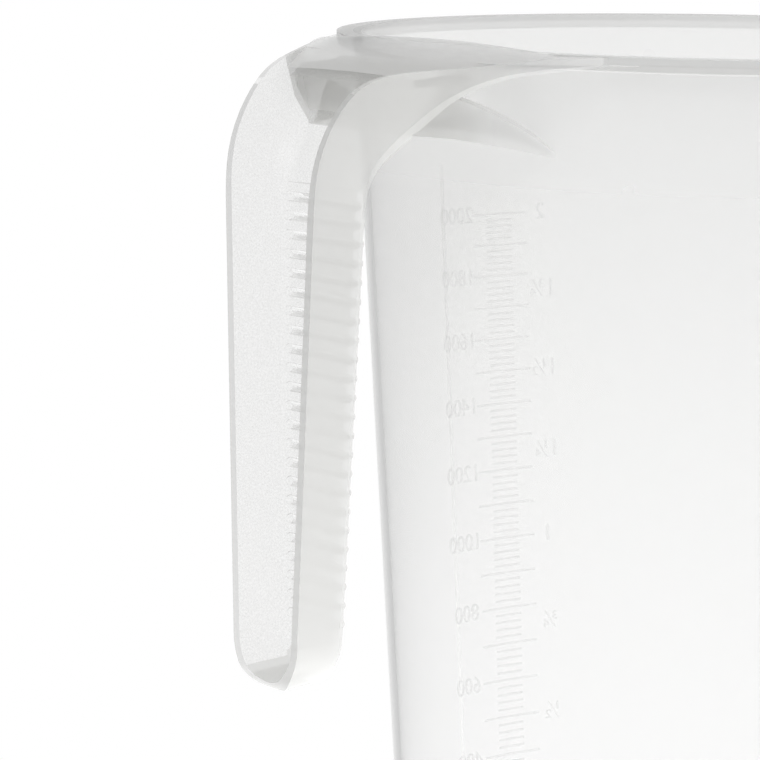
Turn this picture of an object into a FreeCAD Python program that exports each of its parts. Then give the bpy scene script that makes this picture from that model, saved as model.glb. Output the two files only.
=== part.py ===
import FreeCAD, Part
import math
import os

# Two-litre measuring jug, moulded in one piece of translucent polypropylene.
# Millimetres, +Z up. The origin is the middle of the foot, on the axis of the body.
# The handle hangs from the rim on the -X side and the pouring lip is on the +X side.

Vector = FreeCAD.Vector

# ---- driving dimensions: body ----
jug_height = 193.0          # foot to top of the rim
rim_radius = 78.0           # outer edge of the flange round the mouth
flange_width = 3.2          # how far the flange stands out from the wall
flange_thick = 1.4
body_taper = 3.9            # degrees, each side, narrowing downwards
wall = 1.6
floor_thick = 2.4
foot_round = 5.0            # radius of the outer bottom corner
neck_groove = 3.0           # rim down to the faint step line under the flange
bead = 0.35                 # how far the strip above that line stands out

# ---- driving dimensions: pouring lip ----
spout_reach = 11.0          # beyond the wall at the rim
spout_half_width = 29.0     # where it leaves the inside of the body, at the rim
spout_root = 12.0           # how far inside the wall its V starts
spout_depth = 40.0          # rim down to where it dies into the wall
spout_nose = 5.0            # radius of the pouring edge in plan
spout_end = 0.98            # share of that depth at which its solid stops, inside the wall

# ---- driving dimensions: handle ----
handle_reach = 35.5         # rim's edge out to the lips of the channel
channel_depth = 13.4        # lips to the finger side
channel_wall = 1.6
grip_top_half = 13.3        # half width over the lips at the top of the grip
grip_end_half = 9.8         # half width over the lips at the closed end
finger_draft = 1.2          # how far the finger side leans out by the closed end
lip_corner = 4.5            # side-view radius of the closed end, lip side
finger_corner = 6.0         # and finger side
hollow_corner = 0.1         # the same for the hollow's lip side, which is left sharp
grip_top_drop = 28.0        # rim down to the top of the straight grip
grip_end_drop = 106.6       # rim down to where the round closed end begins
grip_steps = 10             # outlines along the straight grip
solid_points = 4            # of the bend's last points, where the channel is solid
corner_inset = 0.6          # share of the wall that the hollow's corners are set in by
floor_inset = 0.5           # and its floor's sides

# ---- driving dimensions: thumb plate ----
crown_radius = 400.0        # side to side
nose_undercut = 0.5         # how far its lower edge sits back under the nose
plate_sink = 0.8            # how deep its sides sink into the channel's flanks

# ---- driving dimensions: finger ribs ----
rib_pitch = 3.48
rib_first_drop = 23.8       # rim down to the top rib
rib_end_margin = 2.7        # at least, last rib to the round closed end
rib_height = 0.6            # on the finger side
groove_depth = 0.45         # behind each rib, inside the channel
rib_tube = 0.9              # radius of the rib's rounded back
rib_bow = 100.0             # radius of the bow that lets each groove fade out at its ends
rib_back_bow = 220.0        # the same for the ribs, which fade less
rib_side_gap = 0.2          # rib's end to the edge of the finger side

# ---- driving dimensions: side wings ----
wing_wall = 2.4             # measured towards the body's axis
wing_seat = 0.9             # share of the body wall that the shelf sinks into
shelf_thick = 1.5
shelf_rise = 2.4            # how much higher the wing's shelf is at the body wall
wing_full_depth = 5.0       # where the wing is less deep, its wall and shelf thin out

# ---- how far cutting tools run past what they cut ----
rim_clear = 20.0            # above the rim
lip_clear = 3.0             # outwards past the channel's lips
end_overlap = 1.0           # block that trims the closed end, up into the grip
block_width = 60.0          # and its width

# The handle's bend from the top of the straight grip in to the body. Each point of the
# lips is a share of handle_reach beyond the rim's edge, how much wider than the grip,
# and a share of grip_top_drop down from the rim.
lip_line = [
    (1.000, 0.0, 1.000), (0.986, 0.4, 0.714), (0.910, 1.0, 0.436), (0.786, 2.0, 0.229),
    (0.651, 4.7, 0.132), (0.534, 8.7, 0.100), (0.421, 12.7, 0.079), (0.308, 16.5, 0.054),
    (0.186, 20.3, 0.029), (0.069, 23.9, 0.011), (-0.027, 26.7, 0.004), (-0.108, 29.3, 0.004)]

# Across from each of those points: how far the channel's corner, and then its finger
# side, lie inwards, wider and down. Inwards and down are shares of channel_depth.
corner_line = [
    (0.851, -0.9, 0.000), (0.806, 0.1, 0.224), (0.716, 0.6, 0.493), (0.582, 0.9, 0.672),
    (0.418, 0.8, 0.590), (0.254, 0.2, 0.396), (0.082, 0.2, 0.239), (0.030, 0.2, 0.142),
    (0.015, 0.2, 0.119), (0.007, 0.1, 0.104), (0.007, 0.1, 0.097), (0.007, 0.1, 0.097)]
finger_line = [
    (1.000, -2.7, 0.000), (0.978, -2.5, 0.328), (0.881, -2.3, 0.642), (0.746, -2.1, 0.836),
    (0.597, -1.4, 0.724), (0.373, -1.0, 0.478), (0.172, -0.6, 0.299), (0.104, -0.4, 0.194),
    (0.075, -0.3, 0.164), (0.052, -0.3, 0.142), (0.037, -0.2, 0.127), (0.037, -0.2, 0.127)]

# The thumb plate's upper side, from inside the rim out to its nose: shares of
# handle_reach beyond the rim's edge and of grip_top_drop down.
plate_line = [(-0.169, -0.032), (0.0, -0.029), (0.169, 0.036), (0.282, 0.082),
              (0.394, 0.121), (0.479, 0.146)]

# The outer web of a side wing, from the channel round to the body wall: share of
# handle_reach, how much wider than the grip, and its upper and lower edge as shares of
# grip_top_drop.
wing_line = [
    (0.479, 1.9, 0.193, 0.521), (0.370, 3.9, 0.243, 0.536), (0.268, 5.9, 0.293, 0.550),
    (0.166, 7.8, 0.354, 0.579), (0.062, 9.8, 0.439, 0.607), (-0.041, 11.8, 0.536, 0.643),
    (-0.137, 13.5, 0.643, 0.675), (-0.173, 14.1, 0.670, 0.690)]


def wall_radius(height):
    """Outer radius of the body wall at a height above the foot."""
    top_radius = rim_radius - flange_width
    return top_radius - (jug_height - height) * math.tan(math.radians(body_taper))


def beyond_rim(share, side):
    """Distance from the axis, along the handle, of what lies that share of the handle's
    reach beyond the rim's edge, at a distance to the side."""
    return math.sqrt(rim_radius ** 2 - side ** 2) + handle_reach * share


def on_handle(reach, side, drop):
    """A point of the handle: distance from the axis, sideways, and down from the rim."""
    return Vector(-reach, side, jug_height - drop)


def closed_polygon(points):
    return Part.makePolygon(points + [points[0]])


def revolved(profile):
    """Turn a closed outline of (radius, height) points round the body's axis."""
    wire = closed_polygon([Vector(radius, 0, height) for radius, height in profile])
    return Part.Face(wire).revolve(Vector(0, 0, 0), Vector(0, 0, 1), 360)


def rounded_at(solid, height, radius):
    """Round the solid's circular edges that lie at one height."""
    edges = [edge for edge in solid.Edges
             if abs(edge.BoundBox.ZMin - height) < 0.001 and edge.BoundBox.ZLength < 0.001]
    return solid.makeFillet(radius, edges)


def body_outside():
    flange_low = jug_height - flange_thick
    groove = jug_height - neck_groove
    block = revolved([
        (0, 0), (wall_radius(0), 0), (wall_radius(groove), groove),
        (wall_radius(groove) + bead, groove + bead), (wall_radius(flange_low) + bead, flange_low),
        (rim_radius, flange_low), (rim_radius, jug_height), (0, jug_height)])
    return rounded_at(block, 0.0, foot_round)


def body_inside():
    """The space inside the wall, carried on above the rim so that it cuts clean."""
    mouth = wall_radius(jug_height) - wall
    above = jug_height + rim_clear
    space = revolved([
        (0, floor_thick), (wall_radius(floor_thick) - wall, floor_thick),
        (mouth, jug_height), (mouth, above), (0, above)])
    return rounded_at(space, floor_thick, foot_round - wall)


def spout_section(grow, drop):
    """Rounded V in plan, at a depth below the rim; it narrows and sinks in with depth."""
    left = 1.0 - drop / spout_depth
    height = jug_height - drop
    inside = wall_radius(height) - wall
    nose = spout_nose * left + grow
    centre = Vector(inside + (spout_reach + wall) * left + grow - nose, 0, height)
    root = Vector(inside + wall - spout_root, spout_half_width * left + grow, height)
    from_centre = root - centre
    turn = math.atan2(from_centre.y, from_centre.x) - math.acos(nose / from_centre.Length)
    shoulder = centre + Vector(nose * math.cos(turn), nose * math.sin(turn), 0)
    tip = centre + Vector(nose, 0, 0)
    mirror = Vector(shoulder.x, -shoulder.y, height)
    root_mirror = Vector(root.x, -root.y, height)
    return Part.Wire([
        Part.LineSegment(root, shoulder).toShape(),
        Part.Arc(shoulder, tip, mirror).toShape(),
        Part.LineSegment(mirror, root_mirror).toShape(),
        Part.LineSegment(root_mirror, root).toShape()])


def spout(grow, above):
    ends = [spout_section(grow, drop) for drop in (-above, spout_depth * spout_end)]
    return Part.makeLoft(ends, True, True)


def spout_flange():
    """The rim's flange carried on round the pouring lip."""
    outline = spout_section(wall + flange_width, 0.0)
    return Part.Face(outline).extrude(Vector(0, 0, -flange_thick))


def end_face(outline):
    """Face inside an outline, which need not lie flat."""
    wire = closed_polygon(outline)
    if wire.findPlane():
        return Part.Face(wire)
    return Part.makeFilledFace(wire.Edges)


def skinned(sections):
    """Solid through matching outlines: smooth edges along it, straight ones across it."""
    steps = [0.0]
    for before, after in zip(sections, sections[1:]):
        gap = sum(p.distanceToPoint(q) for p, q in zip(before, after)) / len(before)
        steps.append(steps[-1] + gap)
    edges = []
    for track in zip(*sections):
        curve = Part.BSplineCurve()
        curve.interpolate(Points=list(track), Parameters=steps)
        edges.append(curve.toShape())
    faces = [Part.makeRuledSurface(edges[i - 1], edges[i]) for i in range(len(edges))]
    faces += [end_face(sections[0]), end_face(sections[-1])]
    shell = Part.makeCompound(faces)
    shell.sewShape()
    solid = Part.Solid(shell.Shells[0])
    if solid.Volume < 0:
        solid.reverse()
    return solid


def bend_points(number):
    """Lip, corner and finger side at one station of the bend, as (reach, side, drop)."""
    share, wider, down = lip_line[number]
    half = grip_top_half + wider
    lip = (beyond_rim(share, half), half, grip_top_drop * down)
    points = [lip]
    for inwards, wider, down in (corner_line[number], finger_line[number]):
        points.append((lip[0] - channel_depth * inwards, lip[1] + wider,
                       lip[2] + channel_depth * down))
    return points


def grip_points(share):
    """The same on the straight grip; share is 0 at its closed end and 1 at its top."""
    drop = grip_end_drop + (grip_top_drop - grip_end_drop) * share
    narrower = (grip_top_half - grip_end_half) * (1.0 - share)
    lean = finger_draft * (1.0 - share)
    lip, corner, finger = bend_points(0)
    return [(lip[0], lip[1] - narrower, drop),
            (corner[0] + lean, corner[1] - narrower, drop),
            (finger[0] + lean, finger[1] - narrower, drop)]


def across(points, inset, raise_lip):
    """Outline across the channel; inset by the wall for the hollow, open past the lips."""
    lip, corner, finger = points
    run = Vector(lip[0] - finger[0], 0, lip[2] - finger[2])
    run.normalize()
    corner_in = inset * corner_inset
    half = [
        (lip[0] + run.x * raise_lip, lip[1] - inset, lip[2] + run.z * raise_lip),
        (corner[0] + run.x * corner_in, corner[1] - inset, corner[2] + run.z * corner_in),
        (finger[0] + run.x * inset, finger[1] - inset * floor_inset, finger[2] + run.z * inset)]
    return [on_handle(*p) for p in half] + [on_handle(r, -t, d) for r, t, d in reversed(half)]


def channel(inset, raise_lip, left_off=0):
    """The channel from its closed end up the grip and round the bend to the rim, less
    the points left off where it has grown too thin to be hollow."""
    grip = [grip_points(step / grip_steps) for step in range(grip_steps)]
    bend = [bend_points(number) for number in range(len(lip_line) - left_off)]
    return skinned([across(points, inset, raise_lip) for points in grip + bend])


def closed_end(inset, raise_lip):
    """Half turn of the grip's outline, rounded in side view, that closes the channel."""
    lip, corner, finger = across(grip_points(0.0), inset, raise_lip)[:3]
    outline = [lip, corner, finger, Vector(finger.x, 0, finger.z), Vector(lip.x, 0, lip.z)]
    face = Part.Face(closed_polygon(outline))
    turned = face.revolve(Vector(0, 0, lip.z), Vector(-1, 0, 0), 180)
    return turned.common(side_outline(inset, raise_lip))


def quarter_arc(start, corner, end):
    """Round arc from start to end, tangent to the two straight sides that meet at corner."""
    to_middle = 1.0 - math.sqrt(0.5)
    middle = corner + (start - corner + end - corner) * to_middle
    return Part.Arc(start, middle, end).toShape()


def side_outline(inset, raise_lip):
    """Side view of the closed end as a wide block with both lower corners rounded."""
    lip, corner, finger = grip_points(0.0)
    top = lip[2] - end_overlap
    bottom = lip[2] + grip_end_half - inset
    outer = lip[0] + raise_lip
    inner = finger[0] + inset
    outer_round = hollow_corner if inset else lip_corner
    inner_round = finger_corner - inset
    outer_top = on_handle(outer, 0, top)
    outer_start = on_handle(outer, 0, bottom - outer_round)
    outer_end = on_handle(outer - outer_round, 0, bottom)
    inner_start = on_handle(inner + inner_round, 0, bottom)
    inner_end = on_handle(inner, 0, bottom - inner_round)
    inner_top = on_handle(inner, 0, top)
    wire = Part.Wire([
        Part.LineSegment(outer_top, outer_start).toShape(),
        quarter_arc(outer_start, on_handle(outer, 0, bottom), outer_end),
        Part.LineSegment(outer_end, inner_start).toShape(),
        quarter_arc(inner_start, on_handle(inner, 0, bottom), inner_end),
        Part.LineSegment(inner_end, inner_top).toShape(),
        Part.LineSegment(inner_top, outer_top).toShape()])
    wire.translate(Vector(0, -block_width / 2, 0))
    return Part.Face(wire).extrude(Vector(0, block_width, 0))


def thumb_plate(envelope):
    """Crowned plate that covers the channel from the rim out to a turned-down nose."""
    points = [(beyond_rim(share, 0.0), grip_top_drop * down) for share, down in plate_line]
    top = Part.BSplineCurve()
    top.interpolate([on_handle(reach, 0, drop) for reach, drop in points])
    low = Part.BSplineCurve()
    low.interpolate([on_handle(reach - nose_undercut, 0, drop + channel_wall)
                     for reach, drop in points])
    inner_end = Part.LineSegment(low.StartPoint, top.StartPoint).toShape()
    nose = Part.LineSegment(top.EndPoint, low.EndPoint).toShape()
    profile = Part.Face(Part.Wire([top.toShape(), nose, low.toShape(), inner_end]))
    centre = Vector(0, 0, jug_height - crown_radius)
    widest = bend_points(len(lip_line) - 1)[0][1] + lip_clear
    half_sweep = math.degrees(math.asin(widest / crown_radius))
    profile.rotate(centre, Vector(1, 0, 0), -half_sweep)
    return profile.revolve(centre, Vector(1, 0, 0), 2 * half_sweep).common(envelope)


def finger_ribs(offset, bow):
    """Bowed round bars across the finger side, set off from its face by an offset."""
    room = grip_end_drop - rib_end_margin - rib_first_drop
    bars = []
    for number in range(int(room / rib_pitch) + 1):
        drop = rib_first_drop + rib_pitch * number
        share = (grip_end_drop - drop) / (grip_end_drop - grip_top_drop)
        reach, half, _ = grip_points(share)[2]
        nearest = reach + offset
        sweep = math.degrees(2.0 * (half - rib_side_gap) / bow)
        disc = Part.Face(Part.Wire(Part.makeCircle(
            rib_tube, on_handle(nearest, 0, drop), Vector(0, 1, 0))))
        axis = on_handle(nearest + bow, 0, drop)
        disc.rotate(axis, Vector(0, 0, 1), -sweep / 2)
        bars.append(disc.revolve(axis, Vector(0, 0, 1), sweep))
    return bars


def side_wing(side):
    """Gusset from the channel's flank round to a point on the body wall: a thin upright
    web with a shelf from its lower edge in to the wall."""
    sections = []
    for share, wider, top_share, low_share in wing_line:
        out = grip_top_half + wider
        reach = beyond_rim(share, out)
        top = grip_top_drop * top_share
        low = grip_top_drop * low_share
        from_axis = math.hypot(reach, out)
        fade = min(1.0, (low - top) / wing_full_depth)
        web = wing_wall * fade
        shelf = low - shelf_rise * fade
        seat = (wall_radius(jug_height - low) - wall * wing_seat) / from_axis
        inner = 1.0 - web / from_axis
        outline = [(1.0, top), (1.0, low), (seat, shelf), (seat, shelf - shelf_thick * fade),
                   (inner, low - shelf_thick * fade), (inner, top)]
        sections.append([on_handle(reach * scale, side * out * scale, drop)
                         for scale, drop in outline])
    return skinned(sections)


def build_handle():
    solid = channel(0.0, 0.0).fuse([closed_end(0.0, 0.0), side_wing(1), side_wing(-1)])
    hollow = [channel(channel_wall, lip_clear, solid_points), closed_end(channel_wall, lip_clear)]
    return solid.cut(hollow).fuse(thumb_plate(channel(channel_wall - plate_sink, 2 * lip_clear)))


def build_jug():
    body = body_outside().fuse([spout(wall, 0.0), spout_flange(), build_handle()])
    jug = body.cut([body_inside(), spout(0.0, rim_clear)])
    ribs = finger_ribs(rib_tube - rib_height, rib_back_bow)
    grooves = finger_ribs(channel_wall - rib_tube + groove_depth, rib_bow)
    return jug.fuse(ribs).cut(grooves)


os.makedirs("parts", exist_ok=True)
build_jug().exportStep("parts/jug.step")
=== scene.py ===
# %% [markdown]
# # A two-litre measuring jug in natural polypropylene
#
# The jug is one moulding, and its shape comes from the CAD frame: a tapered body with a
# flanged rim, a pouring lip, and a channel-shaped handle that hangs from the rim. What is
# added here is what the mould leaves on the plastic and what light does in it: the raised
# volume scale, the line where the mould parts, and a milky, satin plastic that lets the far
# wall show through the near one. A copy of the frame's mesh would gain nothing, so the CAD
# node itself stays on show and only gets a better material.

import math

import bpy
from mathutils import Matrix, Vector


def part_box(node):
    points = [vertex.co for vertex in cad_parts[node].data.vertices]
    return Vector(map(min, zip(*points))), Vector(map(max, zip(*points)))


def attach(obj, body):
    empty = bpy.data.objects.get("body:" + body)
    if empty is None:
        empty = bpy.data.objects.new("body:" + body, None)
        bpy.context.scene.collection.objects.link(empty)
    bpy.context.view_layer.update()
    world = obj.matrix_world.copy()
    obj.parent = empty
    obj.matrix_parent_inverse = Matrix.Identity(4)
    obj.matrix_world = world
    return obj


MM = 0.001

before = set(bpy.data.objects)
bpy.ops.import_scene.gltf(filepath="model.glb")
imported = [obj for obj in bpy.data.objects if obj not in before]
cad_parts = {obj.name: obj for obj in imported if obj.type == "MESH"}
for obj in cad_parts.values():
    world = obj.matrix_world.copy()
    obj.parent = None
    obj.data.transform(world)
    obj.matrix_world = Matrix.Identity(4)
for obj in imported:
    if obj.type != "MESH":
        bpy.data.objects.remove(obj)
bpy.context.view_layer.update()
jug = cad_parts["jug"]
jug_low, jug_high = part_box("jug")
print("jug, mm:", [round((high - low) / MM, 1) for low, high in zip(jug_low, jug_high)])

# %% [markdown]
# ## Sizes of the real jug
#
# The frame gives the box of the whole jug. The body's wall is a plain cone, so three numbers
# describe it: the rim's radius, the wall's taper and the wall's thickness. Everything that
# sits on the wall is placed by them, and the scale's lines stand where those volumes of
# liquid would really reach.

# %% Wall of the body
RIM_RADIUS = jug_high.y
RIM_HEIGHT = jug_low.z + 193.0 * MM
FLANGE_WIDTH = 3.2 * MM
WALL = 1.6 * MM
FLOOR = 2.4 * MM
TAPER = math.radians(3.9)


def wall_radius(height):
    """Outer radius of the body wall at a height above the foot."""
    return RIM_RADIUS - FLANGE_WIDTH - (RIM_HEIGHT - height) * math.tan(TAPER)


def height_of(litres):
    """Height that a volume of liquid reaches inside the tapered wall."""
    slope = math.tan(TAPER)
    floor_radius = wall_radius(FLOOR) - WALL
    volume = litres * 1e-3
    surface_radius = (floor_radius ** 3 + 3.0 * slope * volume / math.pi) ** (1.0 / 3.0)
    return FLOOR + (surface_radius - floor_radius) / slope


print("wall radius at rim and foot, mm:",
      round(wall_radius(RIM_HEIGHT) / MM, 1), round(wall_radius(0.0) / MM, 1))
print("heights of 1 and 2 litres, mm:",
      round(height_of(1.0) / MM, 1), round(height_of(2.0) / MM, 1))

# %% [markdown]
# ## A few helpers
#
# Blender's operators act on whatever is selected, so each step starts from a clean selection.
# The helper for modifiers applies each one at once, so that every mesh stays plain.

# %% Helpers for selection and modifiers
def select_only(piece):
    bpy.ops.object.select_all(action="DESELECT")
    piece.select_set(True)
    bpy.context.view_layer.objects.active = piece


def apply_modifier(piece, kind, **settings):
    """Add a modifier with its settings and apply it at once."""
    select_only(piece)
    modifier = piece.modifiers.new(kind.title(), kind)
    for name, value in settings.items():
        setattr(modifier, name, value)
    bpy.ops.object.modifier_apply(modifier=modifier.name)


def apply_place(piece):
    select_only(piece)
    bpy.ops.object.transform_apply(location=True, rotation=True, scale=True)


def joined(pieces, name):
    """Make one mesh of several and name it."""
    bpy.ops.object.select_all(action="DESELECT")
    for piece in pieces:
        piece.select_set(True)
    bpy.context.view_layer.objects.active = pieces[0]
    bpy.ops.object.join()
    whole = bpy.context.view_layer.objects.active
    whole.name = name
    return whole


# %% [markdown]
# ## Raised volume scale
#
# The real scale is moulded on the outside of the wall on the side away from the camera, a
# quarter turn from the handle: a column of millilitres, a ladder of lines, and a column of
# litres in quarters. Each line is a thin plane, subdivided along its length so that it can
# follow the wall's curve. Numbers are text objects that are turned into meshes first. All
# of it is drawn flat in front of the wall, then laid on the wall with a Shrinkwrap modifier
# and given its relief with Solidify, as a mould maker projects engraving onto a cavity.

# %% Measurements of the scale
SCALE_RELIEF = 0.22 * MM
SCALE_SINK = 0.05 * MM
LINE_THICK = 0.45 * MM
LONG_LINE = (-7.4 * MM, 7.4 * MM)
SHORT_LINE = (-3.4 * MM, 3.4 * MM)
MILLILITRE_COLUMN = -12.2 * MM
LITRE_COLUMN = 10.8 * MM
NUMBER_HEIGHT = 3.6 * MM
DRAWING_PLANE = RIM_RADIUS + 10.0 * MM
LINE_STEP = 0.02
SCALE_TOP = 2.0
SCALE_BOTTOM = 0.1


def scale_line(left, right, height):
    """A flat line in front of the wall, cut into short lengths so that it can bend."""
    bpy.ops.mesh.primitive_plane_add(size=1.0, location=(0.0, 0.0, 0.0))
    line = bpy.context.active_object
    line.scale = (right - left, LINE_THICK, 1.0)
    line.rotation_euler = (-math.pi / 2.0, 0.0, 0.0)
    line.location = ((left + right) / 2.0, DRAWING_PLANE, height)
    apply_place(line)
    bpy.ops.object.mode_set(mode="EDIT")
    bpy.ops.mesh.select_all(action="SELECT")
    bpy.ops.mesh.subdivide(number_cuts=5)
    bpy.ops.object.mode_set(mode="OBJECT")
    return line


def scale_number(text, column, height):
    """A number in front of the wall, read from outside the jug."""
    bpy.ops.object.text_add(location=(0.0, 0.0, 0.0))
    number = bpy.context.active_object
    number.data.body = text
    number.data.size = NUMBER_HEIGHT / 0.7
    number.data.align_x = "CENTER"
    number.data.align_y = "CENTER"
    number.data.resolution_u = 3
    select_only(number)
    bpy.ops.object.convert(target="MESH")
    number = bpy.context.active_object
    number.rotation_euler = (math.pi / 2.0, 0.0, math.pi)
    number.location = (column, DRAWING_PLANE, height)
    apply_place(number)
    return number


# %% Draw the lines and numbers flat
marks = []
steps = round((SCALE_TOP - SCALE_BOTTOM) / LINE_STEP)
for step in range(steps + 1):
    litres = SCALE_BOTTOM + step * LINE_STEP
    millilitres = round(litres * 1000)
    left, right = SHORT_LINE
    if millilitres % 100 == 0:
        left, right = LONG_LINE
    marks.append(scale_line(left, right, height_of(litres)))
    if millilitres % 200 == 0:
        marks.append(scale_number(str(millilitres), MILLILITRE_COLUMN, height_of(litres)))

quarters = {0.25: "¼", 0.5: "½", 0.75: "¾", 1.0: "1", 1.25: "1¼",
            1.5: "1½", 1.75: "1¾", 2.0: "2"}
for litres, text in quarters.items():
    marks.append(scale_number(text, LITRE_COLUMN, height_of(litres)))
print("marks drawn:", len(marks))

# %% Lay the scale on the wall and give it relief
scale_marks = joined(marks, "scale_marks")
bpy.ops.object.mode_set(mode="EDIT")
bpy.ops.mesh.select_all(action="SELECT")
bpy.ops.mesh.remove_doubles(threshold=0.001 * MM)
bpy.ops.object.mode_set(mode="OBJECT")
apply_modifier(scale_marks, "SHRINKWRAP", target=jug, wrap_method="PROJECT",
               use_project_y=True, use_negative_direction=True,
               use_positive_direction=False, offset=SCALE_RELIEF)
apply_modifier(scale_marks, "SOLIDIFY", thickness=SCALE_RELIEF + SCALE_SINK, offset=-1.0)
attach(scale_marks, "root")
print("scale faces:", len(scale_marks.data.polygons))

# %% [markdown]
# ## Parting line
#
# The two halves of the mould meet in the plane of the handle and leave a low, narrow ridge
# down the wall behind the handle and below the pouring lip. It is a plane as long as the
# wall, subdivided, and laid on the cone by the wall's own radius.

# %% Model the parting line
PARTING_WIDTH = 0.9 * MM
PARTING_RELIEF = 0.06 * MM
PARTING_TOP = RIM_HEIGHT - 22.0 * MM
PARTING_TOP_AT_LIP = RIM_HEIGHT - 44.0 * MM
PARTING_LOW = 6.0 * MM


def parting_line(name, side, top):
    """A low ridge down the wall, on the handle's side (-1) or the lip's side (1)."""
    bpy.ops.mesh.primitive_plane_add(size=1.0, location=(0.0, 0.0, 0.0))
    ridge = bpy.context.active_object
    ridge.name = name
    ridge.scale = (PARTING_WIDTH, top - PARTING_LOW, 1.0)
    ridge.rotation_euler = (math.pi / 2.0, 0.0, side * math.pi / 2.0)
    ridge.location = (side * DRAWING_PLANE, 0.0, (top + PARTING_LOW) / 2.0)
    apply_place(ridge)
    bpy.ops.object.mode_set(mode="EDIT")
    bpy.ops.mesh.select_all(action="SELECT")
    bpy.ops.mesh.subdivide(number_cuts=3)
    bpy.ops.object.mode_set(mode="OBJECT")
    for vertex in ridge.data.vertices:
        vertex.co.x = side * (wall_radius(vertex.co.z) + PARTING_RELIEF)
    apply_modifier(ridge, "SOLIDIFY", thickness=PARTING_RELIEF + SCALE_SINK, offset=-1.0)
    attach(ridge, "root")
    return ridge


handle_parting = parting_line("parting_line_handle_side", -1, PARTING_TOP)
lip_parting = parting_line("parting_line_lip_side", 1, PARTING_TOP_AT_LIP)
print("parting lines:", handle_parting.name, lip_parting.name)

# %% [markdown]
# ## Natural polypropylene, with painted light and shade
#
# The plastic is undyed polypropylene, injection moulded. Its crystals scatter light, so a
# wall 1.6 mm thick is milky: some light goes straight through, and the rest comes out
# spread. Each face lets most of the light straight through and adds a little haze, and the
# solid itself absorbs light along its way, so thick places and edges seen along the wall
# turn smoky. Shade is also painted into the haze and the tint: the wall grows hazier and
# greyer from the foot towards the rim, and the handle has more haze and a greyer tint than
# the body, though both are one moulding. The handle's channel has a fine frosted grain, as
# an etched mould leaves. In the grooves behind the finger ribs light and shade are painted
# by which way a face turns: the upper sides, which face down, are made clear as painted
# light, and the lower sides, which face up, hazier as painted shade. The flange and the
# handle's free edges get painted shade, more haze and a greyer tint that stand in for the
# smoke of looking along the plastic. These levels are set one by one.

# %% Colour and node helpers
def colour(hex_value):
    """An sRGB hex colour as the linear colour that the shader wants."""
    channels = []
    for start in (1, 3, 5):
        value = int(hex_value[start:start + 2], 16) / 255.0
        if value <= 0.04045:
            channels.append(value / 12.92)
        else:
            channels.append(((value + 0.055) / 1.055) ** 2.4)
    return (*channels, 1.0)


def add_node(material, kind, settings=None, inputs=None):
    """Add one node, set its properties, and set or link its inputs."""
    node = material.node_tree.nodes.new(kind)
    for name, value in (settings or {}).items():
        setattr(node, name, value)
    for name, value in (inputs or {}).items():
        if isinstance(value, bpy.types.NodeSocket):
            material.node_tree.links.new(value, node.inputs[name])
        else:
            node.inputs[name].default_value = value
    return node


# %% Satin polypropylene with painted light and shade
POLYPROPYLENE_IOR = 1.49
SATIN_ROUGHNESS = (0.24, 0.36)
RELIEF_ROUGHNESS = 0.3
FLOW_MARK_SIZE = 14.0 * MM
GRAIN_SIZE = 0.35 * MM
GRAIN_CONTRAST = (0.3, 0.7)
GRAIN_HEIGHT = 0.015 * MM
ABSORPTION_PER_METRE = 20.0
# Painted shade: the haze grows from the foot to the rim, so the upper wall turns greyer.
FOOT_HAZE = 0.06
RIM_HAZE_WITH_PAINTED_SHADE = 0.33
# Painted shade: the handle is given more haze than the body, though it is the same plastic.
HANDLE_PAINTED_SHADE_HAZE = 0.58
CHANNEL_HAZE = 0.16
FROST_SPREAD = 0.045
# Painted light and shade in the finger grooves: down-facing sides clearer, up-facing sides
# hazier.
GROOVE_PAINTED_SHADE_HAZE = 0.34
GROOVE_PAINTED_LIGHT_HAZE = 0.03
# Painted shade: the flange and the handle's free edges are hazier, for the smoke of looking along
# the plastic.
EDGE_PAINTED_SHADE_HAZE = 0.58
RELIEF_HAZE = 0.16
BODY_COLOUR = "#F6F6F5"
# Painted shade: the handle's tint is greyer than the body's, though it is the same plastic.
HANDLE_PAINTED_SHADE_COLOUR = "#E7E7E5"
# Painted shade: a greyer tint on the flange and the handle's free edges.
EDGE_PAINTED_SHADE_COLOUR = "#D4D4D3"

# %% Where on the jug the grain and the painted light and shade lie
HANDLE_START = -(RIM_RADIUS + 1.0 * MM)
HANDLE_FADE = 6.0 * MM
FACES_OUTWARD = -0.6
FLANK_OFF_MIDDLE = 4.0 * MM
CHANNEL_START = -(RIM_RADIUS + 14.0 * MM)
FREE_EDGE_START = -(RIM_RADIUS + 27.0 * MM)
GROOVES_LOW = RIM_HEIGHT - 103.0 * MM
GROOVES_TOP = RIM_HEIGHT - 25.6 * MM
GROOVE_SIDE = 0.2
GROOVE_REACH = 9.5 * MM
FLANGE_DEPTH = 3.0 * MM
FLANGE_MARGIN = 0.4 * MM


def calculated(material, operation, first, second=0.0):
    """The socket of one Math node."""
    inputs = {0: first, 1: second}
    return add_node(material, "ShaderNodeMath", {"operation": operation}, inputs).outputs[0]


def mixed_colour(material, share, first, second):
    """The socket of a colour that goes from the first to the second with the share."""
    mix = add_node(material, "ShaderNodeMixRGB", inputs={
        "Fac": share, "Color1": first, "Color2": second})
    return mix.outputs["Color"]


def handle_share(material, place):
    """A value of 0 on the body and 1 on the handle, with a short fade between."""
    return add_node(material, "ShaderNodeMapRange", inputs={
        "Value": place["X"], "From Min": HANDLE_START, "From Max": HANDLE_START - HANDLE_FADE,
        "To Min": 0.0, "To Max": 1.0}).outputs["Result"]


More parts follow.
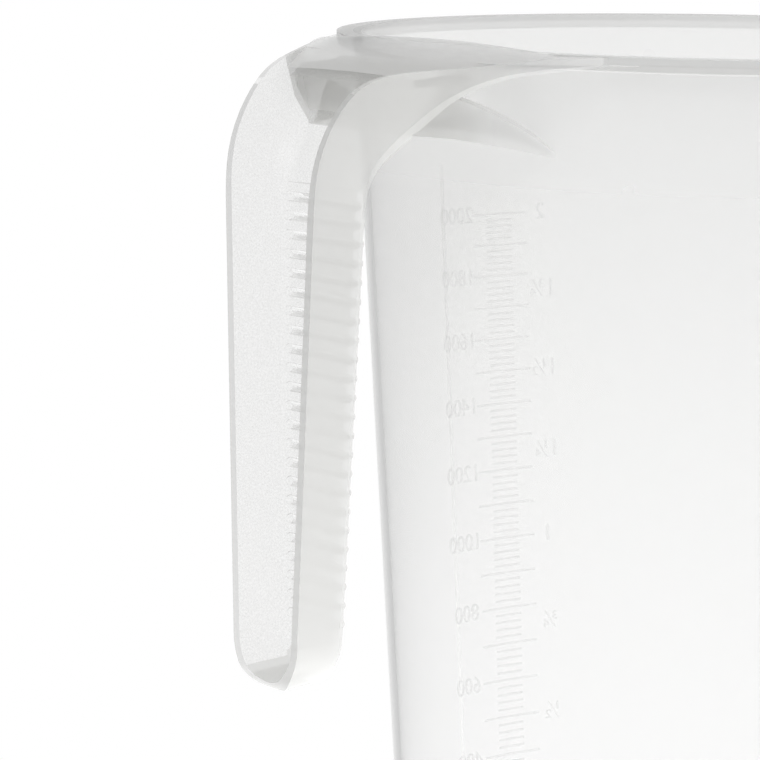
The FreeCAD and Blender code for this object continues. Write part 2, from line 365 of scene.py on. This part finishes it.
def channel_share(material, place, facing):
    """A value of 1 on the faces inside the handle's channel: its web and both flanks."""
    outside = calculated(material, "LESS_THAN", place["X"], CHANNEL_START)
    web = calculated(material, "LESS_THAN", facing["X"], FACES_OUTWARD)
    behind_edge = calculated(material, "GREATER_THAN", place["X"], FREE_EDGE_START)
    web = calculated(material, "MULTIPLY", web, behind_edge)
    inward = calculated(material, "MULTIPLY", place["Y"], facing["Y"])
    flank = calculated(material, "LESS_THAN", inward, -FLANK_OFF_MIDDLE)
    either = calculated(material, "MAXIMUM", web, flank)
    return calculated(material, "MULTIPLY", outside, either)


def groove_band(material, place, in_channel):
    """A value of 1 on the length of the channel's web that has grooves."""
    above = calculated(material, "GREATER_THAN", place["Z"], GROOVES_LOW)
    below = calculated(material, "LESS_THAN", place["Z"], GROOVES_TOP)
    between = calculated(material, "MULTIPLY", above, below)
    behind_edge = calculated(material, "GREATER_THAN", place["X"], FREE_EDGE_START)
    off_middle = calculated(material, "ABSOLUTE", place["Y"])
    off_corner = calculated(material, "LESS_THAN", off_middle, GROOVE_REACH)
    in_web = calculated(material, "MULTIPLY", in_channel, behind_edge)
    in_web = calculated(material, "MULTIPLY", in_web, off_corner)
    return calculated(material, "MULTIPLY", between, in_web)


def thick_edge_share(material, place, facing):
    """A value of 1 where shade is painted: on the rim's flange and on the free edges of the
    handle's flanks.
    """
    across = calculated(material, "POWER", place["Y"], 2.0)
    along = calculated(material, "POWER", place["X"], 2.0)
    radius = calculated(material, "SQRT", calculated(material, "ADD", across, along))
    on_flange = calculated(material, "GREATER_THAN", radius, RIM_RADIUS - FLANGE_WIDTH)
    within_rim = calculated(material, "LESS_THAN", radius, RIM_RADIUS + FLANGE_MARGIN)
    near_rim = calculated(material, "GREATER_THAN", place["Z"], RIM_HEIGHT - FLANGE_DEPTH)
    flange = calculated(material, "MULTIPLY", on_flange, within_rim)
    flange = calculated(material, "MULTIPLY", flange, near_rim)
    outward = calculated(material, "LESS_THAN", facing["X"], FACES_OUTWARD)
    outermost = calculated(material, "LESS_THAN", place["X"], FREE_EDGE_START)
    free_edge = calculated(material, "MULTIPLY", outward, outermost)
    return calculated(material, "MAXIMUM", flange, free_edge)


def satin_polypropylene(name):
    """Milky moulded plastic: clear enough to see through, smoky where it is thick, with painted
    light and shade in its haze and tint.
    """
    material = bpy.data.materials.new(name)
    material.use_nodes = True
    shader = material.node_tree.nodes["Principled BSDF"]
    shader.inputs["IOR"].default_value = POLYPROPYLENE_IOR
    coordinates = add_node(material, "ShaderNodeTexCoord").outputs
    place = coordinates["Object"]
    place_axes = add_node(material, "ShaderNodeSeparateXYZ", inputs={"Vector": place}).outputs
    facing_axes = add_node(material, "ShaderNodeSeparateXYZ", inputs={
        "Vector": coordinates["Normal"]}).outputs
    flow = add_node(material, "ShaderNodeTexNoise", inputs={
        "Vector": place, "Scale": 1.0 / FLOW_MARK_SIZE, "Detail": 2.0})
    satin = add_node(material, "ShaderNodeMapRange", inputs={
        "Value": flow.outputs["Fac"], "To Min": SATIN_ROUGHNESS[0], "To Max": SATIN_ROUGHNESS[1]})
    material.node_tree.links.new(satin.outputs["Result"], shader.inputs["Roughness"])
    on_handle = handle_share(material, place_axes)
    height_share = calculated(material, "DIVIDE", place_axes["Z"], RIM_HEIGHT)
    # Painted shade: haze that grows towards the rim greys the upper wall.
    wall_haze_with_painted_height_shade = add_node(material, "ShaderNodeMapRange", inputs={
        "Value": calculated(material, "POWER", height_share, 2.0),
        "To Min": FOOT_HAZE, "To Max": RIM_HAZE_WITH_PAINTED_SHADE}).outputs["Result"]
    # Painted shade: the handle takes more haze than the body.
    smooth_haze = add_node(material, "ShaderNodeMapRange", inputs={
        "Value": on_handle, "To Min": wall_haze_with_painted_height_shade, "To Max": HANDLE_PAINTED_SHADE_HAZE}).outputs["Result"]
    grain = add_node(material, "ShaderNodeTexNoise", inputs={
        "Vector": place, "Scale": 1.0 / GRAIN_SIZE, "Detail": 1.0}).outputs["Fac"]
    frosted_haze = add_node(material, "ShaderNodeMapRange", inputs={
        "Value": grain, "From Min": GRAIN_CONTRAST[0], "From Max": GRAIN_CONTRAST[1],
        "To Min": CHANNEL_HAZE - FROST_SPREAD,
        "To Max": CHANNEL_HAZE + FROST_SPREAD}).outputs["Result"]
    in_channel = channel_share(material, place_axes, facing_axes)
    haze = add_node(material, "ShaderNodeMapRange", inputs={
        "Value": in_channel, "To Min": smooth_haze, "To Max": frosted_haze}).outputs["Result"]
    grooved = groove_band(material, place_axes, in_channel)
    # Painted light and shade in the grooves: faces turned down are made clear, faces turned up
    # hazy.
    for turned, limit, level in (("GREATER_THAN", GROOVE_SIDE, GROOVE_PAINTED_SHADE_HAZE),
                                 ("LESS_THAN", -GROOVE_SIDE, GROOVE_PAINTED_LIGHT_HAZE)):
        side = calculated(material, turned, facing_axes["Z"], limit)
        side = calculated(material, "MULTIPLY", side, grooved)
        haze = add_node(material, "ShaderNodeMapRange", inputs={
            "Value": side, "To Min": haze, "To Max": level}).outputs["Result"]
    # Painted shade on the flange and the handle's free edges: more haze.
    on_painted_shade_edge = thick_edge_share(material, place_axes, facing_axes)
    haze = add_node(material, "ShaderNodeMapRange", inputs={
        "Value": on_painted_shade_edge, "To Min": haze, "To Max": EDGE_PAINTED_SHADE_HAZE}).outputs["Result"]
    material.node_tree.links.new(haze, shader.inputs["Alpha"])
    # Painted shade: a greyer tint on the handle, and on the flange and free edges below.
    tint = mixed_colour(material, on_handle, colour(BODY_COLOUR), colour(HANDLE_PAINTED_SHADE_COLOUR))
    tint = mixed_colour(material, on_painted_shade_edge, tint, colour(EDGE_PAINTED_SHADE_COLOUR))
    material.node_tree.links.new(tint, shader.inputs["Base Color"])
    relief = add_node(material, "ShaderNodeBump", inputs={
        "Height": grain, "Strength": in_channel, "Distance": GRAIN_HEIGHT})
    material.node_tree.links.new(relief.outputs["Normal"], shader.inputs["Normal"])
    absorption = add_node(material, "ShaderNodeVolumeAbsorption", inputs={
        "Color": (0.0, 0.0, 0.0, 1.0), "Density": ABSORPTION_PER_METRE})
    output = material.node_tree.nodes["Material Output"]
    material.node_tree.links.new(absorption.outputs["Volume"], output.inputs["Volume"])
    return material


def relief_polypropylene(name):
    """The same plastic where it stands up by a fraction of a millimetre and adds little haze."""
    material = bpy.data.materials.new(name)
    material.use_nodes = True
    shader = material.node_tree.nodes["Principled BSDF"]
    shader.inputs["Base Color"].default_value = colour(BODY_COLOUR)
    shader.inputs["IOR"].default_value = POLYPROPYLENE_IOR
    shader.inputs["Roughness"].default_value = RELIEF_ROUGHNESS
    shader.inputs["Alpha"].default_value = RELIEF_HAZE
    return material


wall_plastic = satin_polypropylene("polypropylene_moulded_satin_painted_light_and_shade")
for slot in jug.material_slots:
    slot.material = wall_plastic
relief_plastic = relief_polypropylene("polypropylene_low_relief")
for piece in (scale_marks, handle_parting, lip_parting):
    piece.data.materials.clear()
    piece.data.materials.append(relief_plastic)
print("materials:", wall_plastic.name, relief_plastic.name)

# %% [markdown]
# ## Floor and white surroundings
#
# The jug stands on a plain pale floor. The plastic takes most of its look from what is
# behind it, so floor and world are white to camera, glossy and transmitted rays. To the
# diffuse light that falls on the jug the world is dimmer, and the floor near the jug shines
# like a light table, so that the wall is brightest at the foot.

# %% White to what looks, plain to what lights
def seen_rays(material):
    """A value of 1 for rays that look at a surface or through glass, and 0 for lighting."""
    rays = add_node(material, "ShaderNodeLightPath")
    camera_or_gloss = add_node(material, "ShaderNodeMath", {"operation": "MAXIMUM"})
    everything = add_node(material, "ShaderNodeMath", {"operation": "MAXIMUM"})
    links = material.node_tree.links
    links.new(rays.outputs["Is Camera Ray"], camera_or_gloss.inputs[0])
    links.new(rays.outputs["Is Glossy Ray"], camera_or_gloss.inputs[1])
    links.new(camera_or_gloss.outputs[0], everything.inputs[0])
    links.new(rays.outputs["Is Transmission Ray"], everything.inputs[1])
    return everything.outputs[0]


# %% Floor
FLOOR_GLOW = 1.0
TABLE_BRIGHT = 0.15
TABLE_EDGE = 0.4
TABLE_LIGHT = 2.2

bpy.ops.mesh.primitive_plane_add(size=12.0, location=(0.0, 0.0, 0.0))
floor = bpy.context.active_object
floor.name = "floor"
floor_card = bpy.data.materials.new("matt_white_card")
floor_card.use_nodes = True
card = floor_card.node_tree.nodes["Principled BSDF"]
card.inputs["Base Color"].default_value = colour("#FAFAFA")
card.inputs["Roughness"].default_value = 0.9
floor_place = add_node(floor_card, "ShaderNodeTexCoord").outputs["Object"]
from_jug = add_node(floor_card, "ShaderNodeVectorMath", {"operation": "LENGTH"},
                    {0: floor_place}).outputs["Value"]
near_jug = add_node(floor_card, "ShaderNodeMapRange", inputs={
    "Value": from_jug, "From Min": TABLE_BRIGHT, "From Max": TABLE_EDGE,
    "To Min": 1.0, "To Max": 0.0}).outputs["Result"]
floor_seen = seen_rays(floor_card)
glow_level = add_node(floor_card, "ShaderNodeMapRange", inputs={
    "Value": floor_seen, "To Min": TABLE_LIGHT, "To Max": 1.0}).outputs["Result"]
glow = add_node(floor_card, "ShaderNodeEmission", inputs={"Strength": glow_level})
share = add_node(floor_card, "ShaderNodeMapRange", inputs={
    "Value": floor_seen, "To Min": near_jug, "To Max": FLOOR_GLOW})
mixed = add_node(floor_card, "ShaderNodeMixShader", inputs={"Fac": share.outputs["Result"]})
floor_card.node_tree.links.new(card.outputs["BSDF"], mixed.inputs[1])
floor_card.node_tree.links.new(glow.outputs["Emission"], mixed.inputs[2])
floor_card.node_tree.links.new(mixed.outputs["Shader"],
                               floor_card.node_tree.nodes["Material Output"].inputs["Surface"])
floor.data.materials.append(floor_card)

# %% World
WORLD_LIGHT = 0.36

world = bpy.data.worlds.new("white_studio")
bpy.context.scene.world = world
world.use_nodes = True
background = world.node_tree.nodes["Background"]
background.inputs["Color"].default_value = (1.0, 1.0, 1.0, 1.0)
level = add_node(world, "ShaderNodeMapRange", inputs={
    "Value": seen_rays(world), "To Min": WORLD_LIGHT, "To Max": 1.0})
world.node_tree.links.new(level.outputs["Result"], background.inputs["Strength"])
bpy.context.scene.view_settings.view_transform = "Standard"
print("floor and world are white to the camera; the world lights at", WORLD_LIGHT)

# %% [markdown]
# ## Light
#
# Soft product light from two round softboxes: one high above the handle's near side, and a
# weaker one low on the right. Both are wide, so that their highlights have soft edges.

# %% Softboxes
JUG_MIDDLE = Vector((0.0, 0.0, 120.0 * MM))


def softbox(name, place, size, watts):
    """A round area lamp that points at the middle of the jug."""
    bpy.ops.object.light_add(type="AREA", location=place)
    lamp = bpy.context.active_object
    lamp.name = name
    lamp.data.shape = "DISK"
    lamp.data.size = size
    lamp.data.energy = watts
    lamp.rotation_euler = (JUG_MIDDLE - Vector(place)).to_track_quat("-Z", "Y").to_euler()
    return lamp


softbox("softbox_key", (-0.6, -0.6, 1.2), 0.8, 6.0)
softbox("softbox_right", (1.1, -0.2, 0.6), 0.9, 3.0)

# %% [markdown]
# ## Camera
#
# The camera stands to the handle's near side, a little above the rim, and looks down about
# eight degrees through a long lens. Its frame takes in the handle and the left part of the
# body, and it is rolled by less than a degree.

# %% Camera
CAMERA_PLACE = Vector((-513.9, -550.6, 235.8)) * MM
CAMERA_FORWARD = Vector((0.60622, 0.78154, -0.14729)).normalized()
CAMERA_ROLL = 0.0139
CAMERA_LENS = 181.9

camera_data = bpy.data.cameras.new("camera")
camera_data.lens = CAMERA_LENS
camera_data.sensor_width = 36.0
camera_data.clip_start = 0.01
camera = bpy.data.objects.new("camera", camera_data)
bpy.context.scene.collection.objects.link(camera)
level_right = CAMERA_FORWARD.cross(Vector((0.0, 0.0, 1.0))).normalized()
level_up = level_right.cross(CAMERA_FORWARD)
right = level_right * math.cos(CAMERA_ROLL) + level_up * math.sin(CAMERA_ROLL)
up = level_up * math.cos(CAMERA_ROLL) - level_right * math.sin(CAMERA_ROLL)
turn = Matrix((right, up, -CAMERA_FORWARD)).transposed()
camera.matrix_world = Matrix.Translation(CAMERA_PLACE) @ turn.to_4x4()
bpy.context.scene.camera = camera
